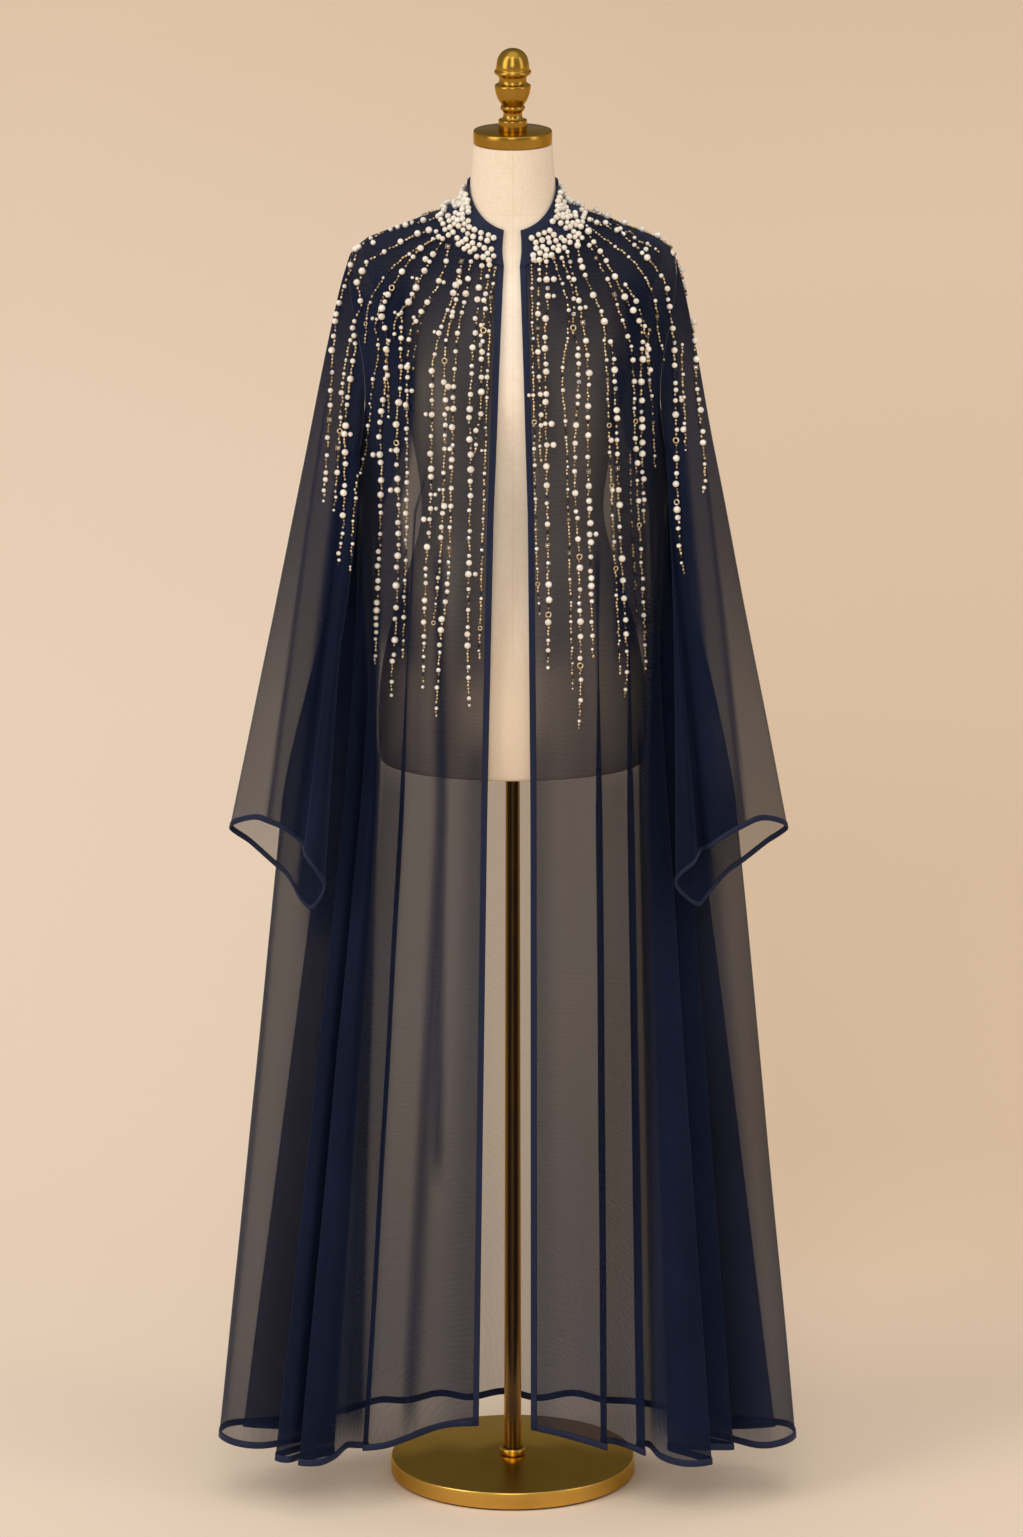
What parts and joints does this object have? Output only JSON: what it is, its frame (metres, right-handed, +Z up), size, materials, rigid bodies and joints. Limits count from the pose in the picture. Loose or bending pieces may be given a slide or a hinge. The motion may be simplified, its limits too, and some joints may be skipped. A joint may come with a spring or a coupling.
{
  "type": "abaya on a dress form",
  "caption": "Long open-fronted abaya with bell sleeves and a pearled band collar, draped over a limbless dress form on a round base.",
  "frame": {"origin": "middle of the underside of the base pad, on the floor", "axes": "+Z up along the pole, the open front faces -Y, and the wearer's right side is at -X"},
  "size_m": [0.6662, 0.3142, 1.676],
  "materials": {
    "sheer_cloth": "sheer midnight-blue chiffon, the stand showing through one layer",
    "binding": "close navy binding tape, sewn on",
    "pearled_collar": "cream faux pearls sewn close together over a navy band",
    "form_linen": "cream linen stretched over the form",
    "brass": "polished, lightly aged brass",
    "dark_brass": "polished brass, darkened",
    "rubber_pad": "thin black non-slip pad"
  },
  "bodies": {
    "root": {"right_front": "sheer_cloth", "left_front": "sheer_cloth", "back": "sheer_cloth", "right_sleeve": "sheer_cloth", "left_sleeve": "sheer_cloth", "right_front_binding": "binding", "left_front_binding": "binding", "right_front_hem": "binding", "left_front_hem": "binding", "back_hem": "binding", "right_sleeve_cuff": "binding", "left_sleeve_cuff": "binding", "collar_band": "pearled_collar", "torso": "form_linen", "neck_cap": "brass", "finial": "brass", "pole_collar": "brass", "base_disc": "brass", "pole": "dark_brass", "base_pad": "rubber_pad"}
  },
  "joints": []
}
